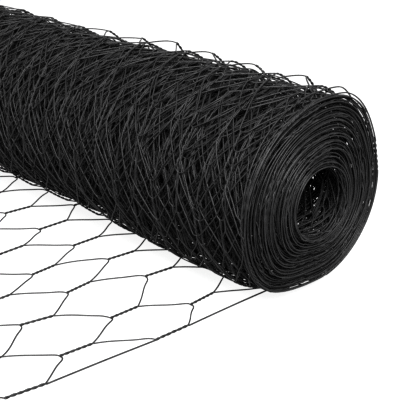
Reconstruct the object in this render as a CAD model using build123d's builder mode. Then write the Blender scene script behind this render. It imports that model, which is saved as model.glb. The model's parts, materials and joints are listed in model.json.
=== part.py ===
"""A roll of PVC coated hexagonal wire netting, lying on its side with its loose end run out.

The netting is 0.5 m wide and 30 m long, with a 50 mm mesh of 1.1 mm wire. All sizes are in
millimetres. The origin is the middle of the bore. +Y runs along the bore, away from the end
where the inner turns stand out. +Z is up, and the loose end runs out on the floor to -X.
"""

import os
from math import atan2, ceil, degrees, hypot, pi

from build123d import *

# The netting as it is sold
netting_width = 500.0
netting_length = 30000.0
mesh_width = 50.0
mesh_pitch = 129.0
twist_length = 31.0
wire_diameter = 1.1

# The roll
roll_diameter = 164.0
bore_diameter = 57.0
telescope = 11.5
turn_gap_width = 0.3
turn_gap_depth = 1.0

# The loose end
loose_length = 329.0
loose_shift = 22.0
seat_clearance = 0.2

# What follows from those sizes
roll_radius = roll_diameter / 2
bore_radius = bore_diameter / 2
mean_turn_length = pi * (roll_radius + bore_radius)
turn_count = round((netting_length - loose_length) / mean_turn_length)
turn_step = (roll_radius - bore_radius) / turn_count
outer_turn_y = telescope - netting_width / 2
pair_width = 2 * wire_diameter
floor_z = -roll_radius
row_step = mesh_width / 2
row_count = round(netting_width / row_step)
near_edge_y = outer_turn_y + loose_shift
half_pitch = mesh_pitch / 2
column_count = ceil(loose_length / half_pitch)


def near_edge(turn):
    """Place along Y of a turn's near edge: the inner turns have slid out to -Y."""
    return outer_turn_y - telescope * (turn_count - 1 - turn) / (turn_count - 1)


def end_outline(gap_y):
    """Near end of the roll from the bore outwards: a land for each turn, a notch between turns."""
    points = [(bore_radius, near_edge(0))]
    for turn in range(1, turn_count):
        radius = bore_radius + turn * turn_step
        notch_y = (near_edge(turn - 1) + near_edge(turn)) / 2 + gap_y
        points.append((radius - turn_gap_width / 2, near_edge(turn - 1)))
        points.append((radius, notch_y))
        points.append((radius + turn_gap_width / 2, near_edge(turn)))
    points.append((roll_radius, near_edge(turn_count - 1)))
    return points


def twist_start(column):
    """Place along X where a column's twists begin: the loose end is cut through column 0."""
    return -loose_length - twist_length / 2 + column * half_pitch


def row_y(row):
    """Place along Y of a row of twists, counted from the near edge."""
    return near_edge_y + row * row_step


def rows_of(column):
    """Rows that have their twists in this column: every second row, by turns."""
    return range((column + 1) % 2, row_count + 1, 2)


def bar(start, end, width):
    """One straight bar of the flat net, drawn as a rectangle from start to end."""
    run_x = end[0] - start[0]
    run_y = end[1] - start[1]
    middle = ((start[0] + end[0]) / 2, (start[1] + end[1]) / 2, 0)
    with Locations(Location(middle, (0, 0, degrees(atan2(run_y, run_x))))):
        Rectangle(hypot(run_x, run_y), width)


# The wound netting: one turned solid with its bore, and its turns on both ends
near_outline = end_outline(turn_gap_depth)
far_outline = [(radius, y + netting_width) for radius, y in end_outline(-turn_gap_depth)]

with BuildPart() as netting_roll:
    with BuildSketch(Plane.XY):
        with BuildLine():
            Polyline(*near_outline, *reversed(far_outline), close=True)
        make_face()
    revolve(axis=Axis.Y)


# The loose end: twisted pairs, the single wires between them, and a selvedge wire on each edge
with BuildPart() as loose_end:
    with BuildSketch(Plane.XY.offset(floor_z)):
        for column in range(column_count):
            pair_start = max(twist_start(column), -loose_length)
            pair_end = min(twist_start(column) + twist_length, 0)
            for row in rows_of(column):
                bar((pair_start, row_y(row)), (pair_end, row_y(row)), pair_width)
    extrude(amount=pair_width)

    with BuildSketch(Plane.XY.offset(floor_z + (pair_width - wire_diameter) / 2)):
        for column in range(column_count - 1):
            wire_start = twist_start(column) + twist_length - wire_diameter
            wire_end = twist_start(column + 1) + wire_diameter
            for row in rows_of(column):
                for next_row in (row - 1, row + 1):
                    if 0 <= next_row <= row_count:
                        bar((wire_start, row_y(row)), (wire_end, row_y(next_row)), wire_diameter)
        for row in (0, row_count):
            bar((-loose_length, row_y(row)), (0, row_y(row)), wire_diameter)
    extrude(amount=wire_diameter)

    with Locations(Location((0, 0, 0), (90, 0, 0))):
        Cylinder(roll_radius + seat_clearance, 3 * netting_width, mode=Mode.SUBTRACT)


netting_roll.part.label = "netting_roll"
loose_end.part.label = "loose_end"

os.makedirs("parts", exist_ok=True)
export_step(netting_roll.part, "parts/netting_roll.step")
export_step(loose_end.part, "parts/loose_end.step")
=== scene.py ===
"""Roll of black plastic coated hexagonal wire netting, with its loose end run out on the floor.

The netting is one long strip of wires twisted together in pairs. It is worked out flat first,
in strip coordinates: reach (from the cut end inwards), across (along the roll's axis) and lift
(away from the strip's own surface). A spiral then carries the strip to the floor and round the
roll. All lengths are in metres.
"""

import json
from math import cos, pi, radians, sin

import bpy
import numpy as np
from mathutils import Matrix, Vector


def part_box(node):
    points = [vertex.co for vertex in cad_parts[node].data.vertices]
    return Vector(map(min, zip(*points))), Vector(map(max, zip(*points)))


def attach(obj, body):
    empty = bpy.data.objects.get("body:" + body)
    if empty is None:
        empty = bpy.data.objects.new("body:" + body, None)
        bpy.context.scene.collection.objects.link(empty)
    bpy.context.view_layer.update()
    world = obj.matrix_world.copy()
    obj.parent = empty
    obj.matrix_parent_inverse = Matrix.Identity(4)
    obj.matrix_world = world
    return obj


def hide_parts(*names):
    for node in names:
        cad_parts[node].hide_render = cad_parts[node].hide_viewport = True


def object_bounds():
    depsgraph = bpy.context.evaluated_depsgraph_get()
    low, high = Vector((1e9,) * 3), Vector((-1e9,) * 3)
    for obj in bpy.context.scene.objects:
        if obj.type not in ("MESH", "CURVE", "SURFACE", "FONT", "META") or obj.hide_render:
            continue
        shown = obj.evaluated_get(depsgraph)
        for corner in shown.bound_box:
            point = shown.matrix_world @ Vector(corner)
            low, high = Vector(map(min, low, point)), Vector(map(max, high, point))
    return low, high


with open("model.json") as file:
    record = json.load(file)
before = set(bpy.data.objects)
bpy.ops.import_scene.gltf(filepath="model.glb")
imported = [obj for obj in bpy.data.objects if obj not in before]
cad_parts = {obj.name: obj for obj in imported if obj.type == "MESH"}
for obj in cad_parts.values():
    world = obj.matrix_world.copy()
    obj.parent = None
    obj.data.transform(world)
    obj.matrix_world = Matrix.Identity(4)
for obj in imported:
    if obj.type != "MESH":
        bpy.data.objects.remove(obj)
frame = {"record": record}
CAD_LOW, CAD_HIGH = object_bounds()
ROLL_LOW, ROLL_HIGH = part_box("netting_roll")
LOOSE_LOW, LOOSE_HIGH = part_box("loose_end")
BORE = frame["record"]["mounts"][0]["dims"]
MM = 0.001

bl_info = {
    "name": "Roll of hexagonal wire netting",
    "version": (1, 0, 0),
    "blender": (4, 5, 0),
    "location": "3D View > Sidebar > Netting",
    "description": "Builds a wound roll of coated hexagonal netting with its loose end run out",
    "category": "Add Mesh",
}

# Where the twisted pairs of the loose end lie in the photograph, in its pixels: (column, row)
# gives the pair's two ends, the first towards the cut end and the second towards the roll.
PAIRS_SEEN = {
    (1, 0): ((4.3, 398.3), (46.4, 383.5)),
    (3, 0): ((155.9, 339.6), (188.8, 325.0)),
    (2, 1): ((59.4, 356.0), (93.7, 343.1)),
    (4, 1): ((190.4, 304.5), (214.3, 292.1)),
    (3, 2): ((110.5, 317.9), (138.7, 306.1)),
    (2, 3): ((19.8, 325.1), (54.2, 315.5)),
    (4, 3): ((145.1, 276.2), (173.5, 266.9)),
    (3, 4): ((66.6, 292.8), (90.9, 281.4)),
    (4, 5): ((107.8, 259.3), (135.3, 250.7)),
    (3, 6): ((31.9, 274.7), (55.5, 264.8)),
    (4, 7): ((73.1, 245.6), (98.9, 236.4)),
    (4, 9): ((38.9, 229.5), (67.6, 219.9)),
    (4, 11): ((4.8, 213.3), (31.3, 206.2)),
}
# The same for pairs of the outermost turn, on top of the roll: those of column 8 loop up over its
# far top, and those of column 9 come down from there on the near side.
TOP_PAIRS_SEEN = {
    (8, 1): ((327.0, 88.0), (306.0, 76.0)),
    (8, 3): ((278.0, 77.5), (256.0, 65.3)),
    (8, 5): ((234.8, 65.3), (212.8, 53.5)),
    (8, 7): ((198.9, 56.3), (177.0, 42.2)),
    (8, 9): ((164.4, 47.3), (143.4, 38.7)),
    (8, 11): ((130.0, 42.0), (109.5, 31.0)),
    (9, 2): ((269.5, 70.4), (254.2, 84.4)),
    (9, 4): ((223.0, 60.2), (204.5, 78.0)),
    (9, 6): ((179.0, 51.0), (161.2, 64.0)),
    (9, 8): ((140.8, 40.3), (123.6, 53.0)),
}

# Strays of the pairs
FLOOR_STRAY = 0.4  # share of the wound netting's strays that the loose end has
TILT_STRAY = 0.35  # stray of a pair's two ends against each other, as a share of the pair's own
EDGE_STRAY = (1.0, 0.15, 0.3)  # share of its strays that a pair of the wound edges keeps
CUT_STRAY = 0.3  # the same for the cut end, along the strip
SEEN_REACH = 1.5  # columns over which a pair that is seen draws its neighbours along
SEEN_DOUBT = 0.2  # weight of no shift at all, beside those of the pairs that are seen
LOOP_LIFT = 0.006  # most that a pair on top of the roll is lifted off its turn

# How the roll swells and sags. Each pair is the middle and the width of a place round the roll, as
# a wound angle in degrees: from the bottom up the far side, over the top and down the near side.
FAR_TOP = (152, 30)
NEAR_LOW = (322, 24)
PACKED_LOW = (330, 40)
RIM_FAR_SIDE = (80, 36)
RIM_BOTTOM = (350, 36)
CALM_SIDE = (55, 70)
# Each of these is a stretch along the roll, in metres from its middle: where it starts and where
# it is full.
NEAR_END = (0.06, -0.1)
FAR_HALF = (-0.13, -0.01)
NEAR_RIM = (-0.2, -0.24)
FAR_END_BULGE = 0.2  # share of the bulge at the far end
FAR_END_SLACK = 0.4  # share of the slack at the far end
RIM_BULGE = 0.0035
RIM_SAG = 0.008
LOW_PACK = 1.5  # share by which the outer turns press out harder low on the near side
PACK_TURNS = 4  # turns over which they take up the press
STAND_OFF_TURNS = 0.7  # turns over which the standing off dies away, after the first
SWELL_TURNS = 0.2  # turns over which the swelling starts
ASKEW_TURNS = 0.95  # turns over which the loose end's askew run is taken up
TOP_ROOM = 0.0042  # how far the netting may rise above the turned roll's top

# How the edge wires bunch
BUNCH_START_TURNS = 0.6  # turns over which the bunching starts at the edges
BUNCH_GROWS = (2, 10)  # turns from which, and by which, the bunches reach their depth
BUNCH_WANDER = (1.2, 0.61)  # how early or late a bunch comes, in radians, and its rate to a turn
BUNCH_UNEVEN = (0.3, 0.37)  # how much deeper or shallower a bunch is, and its rate to a turn
BUNCH_LIFT = 0.0004  # how far a proud wire is lifted
CALM_TURNS = 15  # turns over which the calm side comes to bunch as the rest does
WAVERS = ((0.0005, 2.3), (0.0003, 3.7))  # how far an edge wire wavers, and how often in a turn

# Shape of a wire between two pairs
CROWDING = 1.3  # power that brings its points closer together towards its arriving end
LEAD_ALONG = (1.0, 1.3)  # pull of the leaving pair, along the strip and across it
LEAD_ACROSS = (0.5, 1.0)
ARRIVE_ALONG = (0.8, 1.1)  # pull of the arriving pair, the same two ways
ARRIVE_ACROSS = (0.9, 1.2)
HOOK_POWER = 8  # how late the bend into the arriving pair comes
HOOK_PEAK = 23.1  # brings the highest point of that bend to 1
HOOK_ALONG = 0.0028  # most that the bend overshoots, along the strip and across it
HOOK_ACROSS = 0.0022
BOW = 0.0004  # usual bow of a wire between two pairs, off the strip
EDGE_BOW = (0, 0.0005, 0.0003)  # the same for an edge wire: along, across and off the strip

# How finely the wires are drawn: points along a twisted pair, the most turns that it is drawn
# with, and points along the wire to the next pair.
FINE = {"twist": 18, "most_turns": 6, "span": 12}
MEDIUM = {"twist": 8, "most_turns": 1, "span": 6}
COARSE = {"twist": 3, "most_turns": 1, "span": 5}
OUTER_COLUMNS = 24  # columns of pairs that are drawn finely, from the contact line inwards
MIDDLE_COLUMNS = 50  # columns after those that are drawn less finely

FLOOR_HALF_WIDTH = 12.0


class NettingSizes(bpy.types.PropertyGroup):
    """Sizes of the flat netting."""

    mesh_width: bpy.props.FloatProperty(
        name="Mesh width", description="Across one mesh, from pair to pair", default=0.05, unit="LENGTH")
    mesh_pitch: bpy.props.FloatProperty(
        name="Mesh pitch", description="Along the strip, from a pair to the next one in its row",
        default=0.129, unit="LENGTH")
    twist_length: bpy.props.FloatProperty(
        name="Twist length", description="Length of a twisted pair", default=0.031, unit="LENGTH")
    twist_turns: bpy.props.IntProperty(
        name="Twist turns", description="Whole turns in a twisted pair", default=3)
    wire_diameter: bpy.props.FloatProperty(
        name="Wire diameter", description="Over the coating", default=0.0011, unit="LENGTH")
    strip_length: bpy.props.FloatProperty(
        name="Strip length", description="Whole length of the netting, with its loose end",
        default=30.0, unit="LENGTH")
    turn_count: bpy.props.IntProperty(
        name="Turns", description="Turns wound on the roll", default=85)


class Looseness(bpy.types.PropertyGroup):
    """How far the wound netting strays from an even spiral."""

    along: bpy.props.FloatProperty(
        name="Along", description="Stray of a pair along the strip", default=0.0025, unit="LENGTH")
    across: bpy.props.FloatProperty(
        name="Across", description="Stray of a pair across the strip", default=0.002, unit="LENGTH")
    stretch: bpy.props.FloatProperty(
        name="Stretch", description="How much longer the first wound meshes are pulled",
        default=0.013, unit="LENGTH")
    lift: bpy.props.FloatProperty(
        name="Lift", description="Stray of a pair off its own turn", default=0.0008, unit="LENGTH")
    stiffness: bpy.props.FloatProperty(
        name="Stiffness", description="How straight a wire of the outermost turn runs between its bends: "
        "0 follows the roll, 1 cuts straight across", default=0.7, subtype="FACTOR")
    bulge: bpy.props.FloatProperty(
        name="Bulge", description="Swelling of the whole roll over its far top, near the near end",
        default=0.007, unit="LENGTH")
    slack: bpy.props.FloatProperty(
        name="Slack", description="How far the outermost turn stands off over the far top",
        default=0.005, unit="LENGTH")
    hang: bpy.props.FloatProperty(
        name="Hang", description="How far the outermost turn hangs off low on the near side",
        default=0.004, unit="LENGTH")
    pack: bpy.props.FloatProperty(
        name="Pack", description="How far the outer turns press out against the outermost one",
        default=0.0016, unit="LENGTH")
    bunch_turns: bpy.props.FloatProperty(
        name="Bunch turns", description="Turns from one proud edge wire to the next", default=4.4)
    bunch_depth: bpy.props.FloatProperty(
        name="Bunch depth", description="How far the edge wires between the proud ones are drawn in",
        default=0.0075, unit="LENGTH")
    seed: bpy.props.IntProperty(
        name="Seed", description="Start of the random strays", default=29)


class Finish(bpy.types.PropertyGroup):
    """Colours and gloss of the plastic coating."""

    coat_dark: bpy.props.FloatVectorProperty(
        name="Coating", description="Colour of clean coating", subtype="COLOR", size=3,
        default=(0.023, 0.023, 0.0233))
    coat_worn: bpy.props.FloatVectorProperty(
        name="Rubbed coating", description="Colour where the coating is rubbed or dusty",
        subtype="COLOR", size=3, default=(0.037, 0.037, 0.0375))


class Stage(bpy.types.PropertyGroup):
    """The floor, the light and the camera."""

    floor_colour: bpy.props.FloatVectorProperty(
        name="Floor", description="Colour of the pale floor", subtype="COLOR", size=3,
        default=(0.08, 0.08, 0.08))
    floor_glow: bpy.props.FloatProperty(
        name="Floor glow", description="Light that the floor gives, as a light table does",
        default=0.92)
    sky_strength: bpy.props.FloatProperty(
        name="Sky", description="Strength of the white surroundings", default=1.02)
    key_power: bpy.props.FloatProperty(
        name="Key light", description="Power of the large soft light", default=240.0, unit="POWER")
    key_size: bpy.props.FloatProperty(
        name="Key light size", description="Width of the large soft light", default=1.6, unit="LENGTH")
    key_place: bpy.props.FloatVectorProperty(
        name="Key light place", description="Where the large soft light stands", size=3,
        subtype="TRANSLATION", unit="LENGTH", default=(-0.93, -1.38, 1.6))
    gamma: bpy.props.FloatProperty(
        name="Gamma", description="Gamma of the picture: less than 1 deepens its darks", default=0.6)


# The camera, as worked out from the flat mesh and the roll's end in the photograph.
PHOTO_SIZE = 400
FOCAL_PIXELS = 1067.4
CAMERA_PLACE = np.array((-0.6311, -0.7298, 0.3007))
CAMERA_AZIMUTH = radians(45.69)
CAMERA_DIP = radians(20.98)
CAMERA_ROLL = radians(2.45)


def camera_axes():
    """Right, up and forward of the camera: azimuth turns forward from +Y to +X, dip lowers it."""
    level = np.array((sin(CAMERA_AZIMUTH), cos(CAMERA_AZIMUTH), 0))
    forward = level * cos(CAMERA_DIP) - np.array((0, 0, sin(CAMERA_DIP)))
    side = np.cross(forward, (0, 0, 1))
    side /= np.linalg.norm(side)
    top = np.cross(side, forward)
    right = side * cos(CAMERA_ROLL) + top * sin(CAMERA_ROLL)
    return right, np.cross(right, forward), forward


def in_view(pixel, place, normal):
    """Point that the photograph shows at a pixel: where the pixel's ray meets the plane through
    place that has this normal."""
    right, up, forward = camera_axes()
    across = (pixel[0] - PHOTO_SIZE / 2) / FOCAL_PIXELS
    down = (pixel[1] - PHOTO_SIZE / 2) / FOCAL_PIXELS
    ray = forward + right * across - up * down
    return CAMERA_PLACE + ray * ((place - CAMERA_PLACE) @ normal) / (ray @ normal)


def hump(angle, centre, width):
    """A smooth bump round the roll: e to the minus square of the angle from its centre over its
    width. The angle is in radians, and the centre and the width are in degrees."""
    away = np.mod(angle - radians(centre) + pi, 2 * pi) - pi
    return np.exp(-(away / radians(width)) ** 2)


def smooth_step(x):
    """Eases from 0 to 1 as x goes from 0 to 1: three x squared less two x cubed."""
    x = np.clip(x, 0, 1)
    return x * x * (3 - 2 * x)


def ramp(x, start, full):
    """Eases from 0 to 1 as x goes from start to full."""
    return smooth_step((x - start) / (full - start))


def between(low, high, share):
    """From low to high as share goes from 0 to 1."""
    return low + (high - low) * share


class Strip:
    """The flat strip: where each twisted pair starts and ends, and the spiral that winds it."""

    def __init__(self, sizes, loose):
        self.loose = loose
        self.wire = sizes.wire_diameter
        self.twist = sizes.twist_length
        self.twist_turns = sizes.twist_turns
        self.half_pitch = sizes.mesh_pitch / 2
        self.row_step = sizes.mesh_width / 2
        self.loose_length = -LOOSE_LOW.x
        self.outer_radius = ROLL_HIGH.x - self.wire
        self.inner_radius = BORE["r_mm"] * MM + self.wire
        self.turn_count = sizes.turn_count
        self.turn_step = (self.outer_radius - self.inner_radius) / self.turn_count
        self.near_edge = LOOSE_LOW.y + self.wire
        self.rows = round((LOOSE_HIGH.y - LOOSE_LOW.y - 2 * self.wire) / self.row_step)
        self.columns = int(sizes.strip_length / self.half_pitch)
        self.askew = self.near_edge - (CAD_LOW.y + self.slide())
        self.lay_pairs()

    def slide(self):
        """How far the innermost turn has slid out of the outermost one, along the axis."""
        return ROLL_HIGH.y + ROLL_LOW.y

    def contact_column(self):
        """First column that begins past the line where the strip leaves the floor."""
        return int(np.ceil((self.loose_length + self.twist / 2) / self.half_pitch))

    def lay_pairs(self):
        """Start and end of every pair: an even grid, each pair strayed at random, with the first
        wound meshes pulled longer. The pairs that the photograph shows are then moved there."""
        loose = self.loose
        rng = np.random.default_rng(loose.seed)
        column = np.arange(self.columns + 2)[:, None]
        row = np.arange(self.rows + 1)[None, :]
        reach = column * self.half_pitch - self.twist / 2 + 0 * row
        across = self.near_edge + row * self.row_step + 0 * column
        start = np.stack([reach, across, 0 * reach], axis=-1)
        end = start + np.array((self.twist, 0, 0))
        spread = np.array((loose.along, loose.across, loose.lift))
        past_contact = (reach - self.loose_length) / (2 * self.half_pitch)
        wound = smooth_step(past_contact)[..., None]
        stray = rng.normal(size=start.shape) * spread * between(FLOOR_STRAY, 1, wound)
        tilt = rng.normal(size=start.shape) * spread * TILT_STRAY
        stray[..., 2] *= wound[..., 0]
        tilt[..., 2] *= wound[..., 0]
        edge = ((row == 0) | (row == self.rows)) & (past_contact > 0)
        kept = np.where(edge[..., None], np.array(EDGE_STRAY), 1.0)
        stretch = loose.stretch * smooth_step(past_contact / 2)
        start[..., 0] += stretch
        end[..., 0] += stretch
        self.starts = start + (stray - tilt) * kept
        self.ends = end + (stray + tilt) * kept
        self.draw_loose_pairs(start, end)
        self.draw_top_pairs()
        self.starts[0] = (self.starts[0] + self.ends[0]) / 2
        self.starts[0, :, 0] = stray[0, :, 0] * CUT_STRAY

    def draw_loose_pairs(self, start, end):
        """Moves the loose end's pairs to their places in the photograph. A pair that can't be made
        out there takes the mean shift of those that can, weighted by how near they are."""
        level = np.array((0, 0, LOOSE_LOW.z + self.wire))
        upwards = np.array((0, 0, 1))
        seen, shifts = [], []
        for (column, row), (first, last) in PAIRS_SEEN.items():
            ends = [in_view(pixel, level, upwards) for pixel in (first, last)]
            wanted = np.array([(x + self.loose_length, y, 0) for x, y, _ in ends])
            seen.append((column, row))
            shifts.append(wanted - np.array((start[column, row], end[column, row])))
        seen, shifts = np.array(seen), np.array(shifts)
        for column in range(self.contact_column()):
            for row in range(self.rows + 1):
                gap = np.hypot(seen[:, 0] - column, (seen[:, 1] - row) / 2)
                if gap.min() == 0:
                    shift = shifts[gap.argmin()]
                    self.starts[column, row] = start[column, row] + shift[0]
                    self.ends[column, row] = end[column, row] + shift[1]
                else:
                    near = np.exp(-(gap / SEEN_REACH) ** 2)
                    shift = np.tensordot(near, shifts, 1) / (near.sum() + SEEN_DOUBT)
                    self.starts[column, row] += shift[0]
                    self.ends[column, row] += shift[1]

    def draw_top_pairs(self):
        """Moves pairs on top of the roll to their places in the photograph. Each of their ends
        stays in the half plane of its own wound angle, and isn't lifted further than a loop is."""
        for (column, row), pixels in TOP_PAIRS_SEEN.items():
            for place, pixel in zip((self.starts, self.ends), pixels):
                radius = self.radius_at(place[column, row, 0])
                turns = (self.outer_radius - radius) / self.turn_step
                angle = turns * 2 * pi
                outwards = np.array((sin(angle), 0, -cos(angle)))
                seen = in_view(pixel, np.zeros(3), np.array((cos(angle), 0, sin(angle))))
                place[column, row, 1] = seen[1] + self.drift(turns)
                lift = seen @ outwards - radius - self.swell(angle, seen[1])
                place[column, row, 2] = min(lift, LOOP_LIFT)

    def drift(self, turns):
        """How far a turn has moved to -Y: the loose end runs in askew over most of the first turn,
        and every turn has slid out a little from the one round it."""
        return self.askew * ramp(turns, 0, ASKEW_TURNS) + self.slide() * turns / self.turn_count

    def radius_at(self, reach):
        """Radius of an even spiral where the strip is wound: the outer radius squared, less the
        step times the wound length over pi, under the root."""
        wound = np.maximum(reach - self.loose_length, 0)
        return np.sqrt(self.outer_radius ** 2 - self.turn_step * wound / pi)

    def straighten(self, path, first, last):
        """Draws a wound stretch of wire in towards the chord from first to last reach. The chord
        lies inside the turn by the two part lengths multiplied, over twice the radius."""
        reach = path[..., 0]
        radius = self.radius_at(reach)
        outness = (radius - self.inner_radius) / (self.outer_radius - self.inner_radius)
        wound = smooth_step((reach - self.loose_length) / (self.half_pitch / 2))
        chord = (reach - first) * (last - reach) / (2 * radius)
        path[..., 2] -= chord * self.loose.stiffness * outness * wound

    def swell(self, angle, y):
        """Rise of the wound netting above an even spiral. The whole roll bulges over its far top,
        most of all near its near end. Low on the near side it is drawn in, but bulges near that
        end. The rim itself sags at the bottom and bulges at the far side. The outer turns press
        out against the outermost one, which stands off over the far top and low on the near side,
        and the turns below it less and less."""
        loose = self.loose
        turns = angle / (2 * pi)
        inward = turns / self.turn_count
        far_top, near_low = hump(angle, *FAR_TOP), hump(angle, *NEAR_LOW)
        near_end, far_half = ramp(y, *NEAR_END), ramp(y, *FAR_HALF)
        rim_rise = RIM_BULGE * hump(angle, *RIM_FAR_SIDE) - RIM_SAG * hump(angle, *RIM_BOTTOM)
        rise = loose.bulge * between(FAR_END_BULGE, 1, near_end) * far_top
        rise += loose.hang * between(1, -1, far_half) * near_low
        rise += ramp(y, *NEAR_RIM) * rim_rise
        rise *= 1 - inward ** 3
        pack = loose.pack * (1 + LOW_PACK * hump(angle, *PACKED_LOW))
        rise += pack * (1 - np.exp(-turns / PACK_TURNS)) * (1 - inward)
        stand_off = loose.slack * between(FAR_END_SLACK, 1, near_end) * far_top
        stand_off += loose.hang * far_half * near_low
        return rise + stand_off * np.exp(-np.maximum(turns - 1, 0) / STAND_OFF_TURNS)

    def bunch(self, across, turns):
        """Shift across and lift of the wires by the two edges: every few turns an edge wire stands
        proud and those between are drawn in, and each wavers a little on its way round. On the calm
        side the outer turns are drawn in less."""
        near = smooth_step(1 - (across - self.near_edge) / self.row_step)
        far = smooth_step(1 + (across - self.near_edge) / self.row_step - self.rows)
        wander, wander_rate = BUNCH_WANDER
        uneven, uneven_rate = BUNCH_UNEVEN
        phase = 2 * pi * turns / self.loose.bunch_turns + wander * np.sin(turns * wander_rate)
        depth = self.loose.bunch_depth * ramp(turns, *BUNCH_GROWS)
        depth = depth * (1 - np.exp(-turns / CALM_TURNS) * hump(2 * pi * turns, *CALM_SIDE))
        depth = depth * (1 + uneven * np.sin(turns * uneven_rate))
        drawn_in = depth * np.sqrt(0.5 - 0.5 * np.cos(phase))
        for size, rate in WAVERS:
            drawn_in += size * np.sin(2 * pi * turns * rate)
        return (near - far) * drawn_in, (near + far) * BUNCH_LIFT * np.sin(phase)

    def wind(self, path):
        """Carries strip coordinates to the part's frame. Short of the contact line the strip is
        flat on the floor. Past it the wound angle is what an even spiral has taken up: the outer
        radius less the radius reached, over the step, times two pi. Lift and swelling add to the
        radius. What would rise past the roll's top is eased off there, and nothing goes below the
        floor."""
        reach, across, lift = path[..., 0], path[..., 1], path[..., 2]
        radius = self.radius_at(reach)
        turns = (self.outer_radius - radius) / self.turn_step
        angle = turns * 2 * pi
        drawn_in, bunched = self.bunch(across, turns)
        bunching = ramp(turns, 0, BUNCH_START_TURNS)
        y = across - self.drift(turns) + drawn_in * bunching
        radius = radius + lift + bunched * bunching
        radius += self.swell(angle, y) * ramp(turns, 0, SWELL_TURNS)
        flat = np.minimum(reach - self.loose_length, 0)
        x = flat + radius * np.sin(angle)
        z = np.where(flat < 0, -self.outer_radius + lift, -radius * np.cos(angle))
        past_top = np.maximum(z - ROLL_HIGH.z, 0)
        z = np.minimum(z, ROLL_HIGH.z) + TOP_ROOM * (1 - np.exp(-past_top / TOP_ROOM))
        z = np.maximum(z, LOOSE_LOW.z + self.wire / 2)
        return np.stack([x, y, z], axis=-1)


def twist_offset(side, share, turns, radius):
    """A wire's place in its twisted pair: it circles the pair's middle at one wire radius, and
    ends beside it, on the side that it goes to."""
    angle = 2 * pi * turns * (share - 1) + np.where(side > 0, 0, pi)
    return np.stack([0 * angle, radius * np.cos(angle), radius * np.sin(angle)], axis=-1)


def span(start, end, lead, arrive, t):
    """Cubic from start at t = 0 to end at t = 1, whose end tangents are the straight run times lead
    and arrive."""
    run = end - start
    t2, t3 = t * t, t * t * t
    return (start * (2 * t3 - 3 * t2 + 1) + run * lead * (t3 - 2 * t2 + t)
            + end * (3 * t2 - 2 * t3) + run * arrive * (t3 - t2))


def twisted_pair(strip, start, end, side, twist, share, detail):
    """Centre line of one wire of each pair from start to end: share is the way along the pair, and
    twist is the part of its turns that the wire has made."""
    turns = min(detail["most_turns"], strip.twist_turns)
    middle = start[:, :, None] + (end - start)[:, :, None] * share[:, None]
    path = middle + twist_offset(side[:, :, None], twist, turns, strip.wire / 2)
    strip.straighten(path, start[:, :, None, 0], end[:, :, None, 0])
    return path


def mesh_wires(strip, first, last, detail, seed):
    """Centre lines of the wires that make the meshes, between two columns. Each wire is twisted
    with its neighbour on one side, then crosses to its neighbour on the other, by turns. A crossing
    wire bows by half a sine wave, and hooks into the pair that it reaches by a power of its share
    of the way times the share that is left. The pairs of column 0 are cut through halfway."""
    rng = np.random.default_rng(seed)
    wire = np.arange(strip.rows)[:, None]
    column = np.arange(first, last)[None, :]
    step = (wire + column + 1) % 2
    row, next_row = wire + step, wire + 1 - step
    side = np.where(step == 0, 1, -1)
    start, end = strip.starts[column, row], strip.ends[column, row]
    reached = strip.starts[column + 1, next_row]

    share = np.linspace(0, 1, detail["twist"], endpoint=False)
    uncut = np.where(column == 0, 0.5, 1.0) + 0 * side
    twist = 1 - (1 - share) * uncut[:, :, None]
    twisted = twisted_pair(strip, start, end, side, twist, share, detail)

    share = 1 - (1 - np.linspace(0, 1, detail["span"], endpoint=False)) ** CROWDING
    beside = np.zeros(side.shape + (3,))
    beside[..., 1] = side * strip.wire / 2
    lead = np.ones(side.shape + (3,))
    lead[..., 0] = rng.uniform(*LEAD_ALONG, side.shape)
    lead[..., 1] = rng.uniform(*LEAD_ACROSS, side.shape)
    arrive = np.ones(side.shape + (3,))
    arrive[..., 0] = rng.uniform(*ARRIVE_ALONG, side.shape)
    arrive[..., 1] = rng.uniform(*ARRIVE_ACROSS, side.shape)
    crossing = span((end + beside)[:, :, None], (reached - beside)[:, :, None],
                    lead[:, :, None], arrive[:, :, None], share[:, None])
    shape = side.shape + (1, 1)
    hook = (HOOK_PEAK * share ** HOOK_POWER * (1 - share))[:, None]
    hook_along = rng.uniform(0, HOOK_ALONG, shape)
    hook_across = rng.uniform(0, HOOK_ACROSS, shape) * -side[:, :, None, None]
    bow = rng.normal(size=shape) * BOW * np.sin(pi * share)[:, None]
    crossing += np.concatenate([hook_along * hook, hook_across * hook, bow], axis=-1)
    strip.straighten(crossing, end[:, :, None, 0], reached[:, :, None, 0])
    path = np.concatenate([twisted, crossing], axis=2).reshape(strip.rows, -1, 3)
    return np.concatenate([path, (reached - beside)[:, -1:]], axis=1)


def selvedge_wires(strip, first, last, detail, seed):
    """Centre lines of the two edge wires: straight along the edge, and twisted with the outermost
    mesh wire at every pair of the edge row."""
    rng = np.random.default_rng(seed)
    row = np.array((0, strip.rows))[:, None]
    column = np.arange(first, last, 2)[None, :]
    side = np.where(row == 0, -1, 1) + 0 * column
    start, end = strip.starts[column, row], strip.ends[column, row]
    reached = strip.starts[column + 2, row]

    share = np.linspace(0, 1, detail["twist"], endpoint=False)
    twisted = twisted_pair(strip, start, end, side, share, share, detail)

    share = np.linspace(0, 1, 2 * detail["span"], endpoint=False)
    beside = np.zeros(side.shape + (3,))
    beside[..., 1] = side * strip.wire / 2
    edge = span((end + beside)[:, :, None], (reached + beside)[:, :, None], 1, 1, share[:, None])
    bow = rng.normal(size=side.shape + (1, 3)) * np.array(EDGE_BOW)
    edge += bow * np.sin(pi * share)[:, None]
    path = np.concatenate([twisted, edge], axis=2).reshape(2, -1, 3)
    return np.concatenate([path, (reached + beside)[:, -1:]], axis=1)


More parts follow.
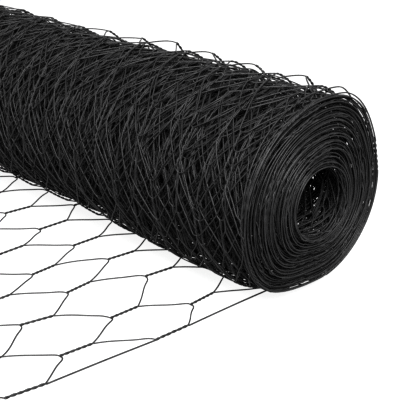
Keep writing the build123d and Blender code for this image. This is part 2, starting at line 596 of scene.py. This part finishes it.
def round_bars(name, points, outward, radius, sides):
    """A closed bar along each row of points. A bar's section is a regular polygon in the plane of
    the outward direction and the one that is square to it and to the path. The polygon looks as
    wide on average as a circle of that radius does: its own radius is larger by the half angle
    of a side over the sine of that half angle."""
    tangent = np.gradient(points, axis=1)
    tangent /= np.linalg.norm(tangent, axis=-1, keepdims=True)
    square = np.cross(tangent, outward)
    square /= np.linalg.norm(square, axis=-1, keepdims=True)
    rise = np.cross(square, tangent)
    turn = (np.arange(sides) + 0.5) * 2 * pi / sides
    radius = radius * (pi / sides) / sin(pi / sides)
    ring = (np.cos(turn)[:, None] * square[:, :, None] + np.sin(turn)[:, None] * rise[:, :, None])
    corners = points[:, :, None] + radius * ring

    bars, count = points.shape[:2]
    index = np.arange(bars * count * sides).reshape(bars, count, sides)
    here, there = index[:, :-1], index[:, 1:]
    quads = np.stack([here, there, np.roll(there, -1, 2), np.roll(here, -1, 2)], axis=-1)
    caps = np.concatenate([index[:, 0], index[:, -1, ::-1]])
    loops = np.concatenate([quads.ravel(), caps.ravel()])
    quad_count = quads.size // 4
    starts = np.concatenate([np.arange(quad_count) * 4, quads.size + np.arange(len(caps)) * sides])

    mesh = bpy.data.meshes.new(name)
    mesh.vertices.add(corners.size // 3)
    mesh.vertices.foreach_set("co", corners.astype(np.float32).ravel())
    mesh.loops.add(len(loops))
    mesh.loops.foreach_set("vertex_index", loops.astype(np.int32))
    mesh.polygons.add(len(starts))
    mesh.polygons.foreach_set("loop_start", starts.astype(np.int32))
    mesh.update(calc_edges=True)
    mesh.shade_smooth()
    piece = bpy.data.objects.new(name, mesh)
    bpy.context.scene.collection.objects.link(piece)
    return piece


def plastic_coating(finish):
    """Black plastic coating: two darks in small patches, a satin gloss that varies, fine pimples."""
    material = bpy.data.materials.new("wire_coating")
    material.use_nodes = True
    nodes, links = material.node_tree.nodes, material.node_tree.links
    shader = nodes["Principled BSDF"]
    place = nodes.new("ShaderNodeTexCoord")
    patches = nodes.new("ShaderNodeTexNoise")
    patches.inputs["Scale"].default_value = 140
    patches.inputs["Detail"].default_value = 4
    links.new(place.outputs["Object"], patches.inputs["Vector"])
    colour = nodes.new("ShaderNodeValToRGB")
    colour.color_ramp.elements[0].position = 0.4
    colour.color_ramp.elements[0].color = (*finish.coat_dark, 1)
    colour.color_ramp.elements[1].position = 0.7
    colour.color_ramp.elements[1].color = (*finish.coat_worn, 1)
    links.new(patches.outputs["Fac"], colour.inputs["Fac"])
    links.new(colour.outputs["Color"], shader.inputs["Base Color"])
    gloss = nodes.new("ShaderNodeMapRange")
    gloss.inputs["To Min"].default_value = 0.3
    gloss.inputs["To Max"].default_value = 0.55
    shader.inputs["Specular IOR Level"].default_value = 0.2
    links.new(patches.outputs["Fac"], gloss.inputs["Value"])
    links.new(gloss.outputs["Result"], shader.inputs["Roughness"])
    pimples = nodes.new("ShaderNodeTexNoise")
    pimples.inputs["Scale"].default_value = 2500
    links.new(place.outputs["Object"], pimples.inputs["Vector"])
    bump = nodes.new("ShaderNodeBump")
    bump.inputs["Strength"].default_value = 0.25
    bump.inputs["Distance"].default_value = 0.00005
    links.new(pimples.outputs["Fac"], bump.inputs["Height"])
    links.new(bump.outputs["Normal"], shader.inputs["Normal"])
    return material


def wire_piece(name, strip, paths, sides, node):
    """Winds the paths, makes the bars and coats them, and shows them in place of a CAD node."""
    points = strip.wind(paths)
    outward = points * np.array((1.0, 0, 1.0))
    flat = paths[..., 0] < strip.loose_length
    outward = np.where(flat[..., None], np.array((0, 0, -1.0)), outward)
    outward /= np.linalg.norm(outward, axis=-1, keepdims=True)
    piece = round_bars(name, points, outward, strip.wire / 2, sides)
    coating = bpy.data.materials.get("wire_coating")
    piece.data.materials.append(coating or plastic_coating(bpy.context.scene.netting_finish))
    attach(piece, "root")
    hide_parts(node)
    return piece


def the_strip(context):
    """The strip that every piece is cut from."""
    return Strip(context.scene.netting_sizes, context.scene.netting_looseness)


class NETTING_OT_loose_end(bpy.types.Operator):
    """Lays the loose end's meshes on the floor"""

    bl_idname = "netting.loose_end"
    bl_label = "Loose end"

    def execute(self, context):
        strip = the_strip(context)
        last = strip.contact_column()
        paths = mesh_wires(strip, 0, last, FINE, seed=21)
        wire_piece("loose_meshes", strip, paths, 6, "loose_end")
        return {"FINISHED"}


class NETTING_OT_wound_turns(bpy.types.Operator):
    """Winds the meshes of the roll, the outer turns in full detail"""

    bl_idname = "netting.wound_turns"
    bl_label = "Wound turns"

    def execute(self, context):
        strip = the_strip(context)
        first = strip.contact_column()
        outer = first + OUTER_COLUMNS
        middle = outer + MIDDLE_COLUMNS
        inner = (middle + strip.columns) // 2
        groups = (
            ("outer_turns", first, outer, FINE, 4),
            ("middle_turns", outer, middle, MEDIUM, 4),
            ("inner_turns", middle, inner, COARSE, 3),
            ("innermost_turns", inner, strip.columns, COARSE, 3),
        )
        for name, start, stop, detail, sides in groups:
            paths = mesh_wires(strip, start, stop, detail, seed=start)
            wire_piece(name, strip, paths, sides, "netting_roll")
        return {"FINISHED"}


class NETTING_OT_selvedges(bpy.types.Operator):
    """Runs the edge wires along both edges of the netting"""

    bl_idname = "netting.selvedges"
    bl_label = "Selvedge wires"

    def execute(self, context):
        strip = the_strip(context)
        last = strip.columns - (strip.columns + 1) % 2
        paths = selvedge_wires(strip, 1, last, FINE, seed=31)
        wire_piece("selvedge_wires", strip, paths, 4, "netting_roll")
        return {"FINISHED"}


class NETTING_OT_stage(bpy.types.Operator):
    """Sets out the pale floor, the soft light and the camera"""

    bl_idname = "netting.stage"
    bl_label = "Stage"

    def execute(self, context):
        stage = context.scene.netting_stage
        half, level = FLOOR_HALF_WIDTH, LOOSE_LOW.z
        mesh = bpy.data.meshes.new("floor")
        mesh.from_pydata(
            [(-half, -half, level), (half, -half, level), (half, half, level), (-half, half, level)],
            [], [(0, 1, 2, 3)])
        floor = bpy.data.objects.new("floor", mesh)
        context.scene.collection.objects.link(floor)
        material = bpy.data.materials.new("pale_floor")
        material.use_nodes = True
        shader = material.node_tree.nodes["Principled BSDF"]
        shader.inputs["Base Color"].default_value = (*stage.floor_colour, 1)
        shader.inputs["Roughness"].default_value = 0.9
        shader.inputs["Specular IOR Level"].default_value = 0.0
        shader.inputs["Emission Color"].default_value = (1, 1, 1, 1)
        shader.inputs["Emission Strength"].default_value = stage.floor_glow
        mesh.materials.append(material)

        world = bpy.data.worlds.new("white_room")
        world.use_nodes = True
        world.node_tree.nodes["Background"].inputs["Color"].default_value = (1, 1, 1, 1)
        world.node_tree.nodes["Background"].inputs["Strength"].default_value = stage.sky_strength
        context.scene.world = world

        lamp = bpy.data.lights.new("key", "AREA")
        lamp.energy = stage.key_power
        lamp.shape = "DISK"
        lamp.size = stage.key_size
        key = bpy.data.objects.new("key", lamp)
        key.location = stage.key_place
        key.rotation_mode = "QUATERNION"
        key.rotation_quaternion = (-Vector(key.location)).to_track_quat("-Z", "Y")
        context.scene.collection.objects.link(key)

        lens = bpy.data.cameras.new("camera")
        lens.sensor_width = 36
        lens.lens = FOCAL_PIXELS * lens.sensor_width / PHOTO_SIZE
        camera = bpy.data.objects.new("camera", lens)
        right, up, forward = camera_axes()
        turned = Matrix(np.column_stack([right, up, -forward]).tolist())
        camera.matrix_world = Matrix.Translation(Vector(CAMERA_PLACE)) @ turned.to_4x4()
        context.scene.collection.objects.link(camera)
        context.scene.camera = camera
        context.scene.view_settings.view_transform = "Standard"
        context.scene.view_settings.gamma = stage.gamma
        return {"FINISHED"}


class NETTING_PT_panel(bpy.types.Panel):
    """Sizes and steps of the roll"""

    bl_label = "Netting roll"
    bl_idname = "NETTING_PT_panel"
    bl_space_type = "VIEW_3D"
    bl_region_type = "UI"
    bl_category = "Netting"

    def draw(self, context):
        for name, group in SETTINGS.items():
            box = self.layout.box()
            for key in group.__annotations__:
                box.prop(getattr(context.scene, name), key)
        for step in STEPS:
            self.layout.operator(step.bl_idname)


SETTINGS = {
    "netting_sizes": NettingSizes,
    "netting_looseness": Looseness,
    "netting_finish": Finish,
    "netting_stage": Stage,
}
STEPS = (NETTING_OT_stage, NETTING_OT_loose_end, NETTING_OT_wound_turns, NETTING_OT_selvedges)
CLASSES = (*SETTINGS.values(), *STEPS, NETTING_PT_panel)


def register():
    """Adds the classes and gives the scene its settings."""
    for item in CLASSES:
        bpy.utils.register_class(item)
    for name, group in SETTINGS.items():
        setattr(bpy.types.Scene, name, bpy.props.PointerProperty(type=group))


def unregister():
    """Takes the settings and the classes away again."""
    for name in SETTINGS:
        delattr(bpy.types.Scene, name)
    for item in reversed(CLASSES):
        bpy.utils.unregister_class(item)


def main():
    register()
    bpy.ops.netting.stage()
    bpy.ops.netting.loose_end()
    bpy.ops.netting.wound_turns()
    bpy.ops.netting.selvedges()


if __name__ == "__main__":
    main()
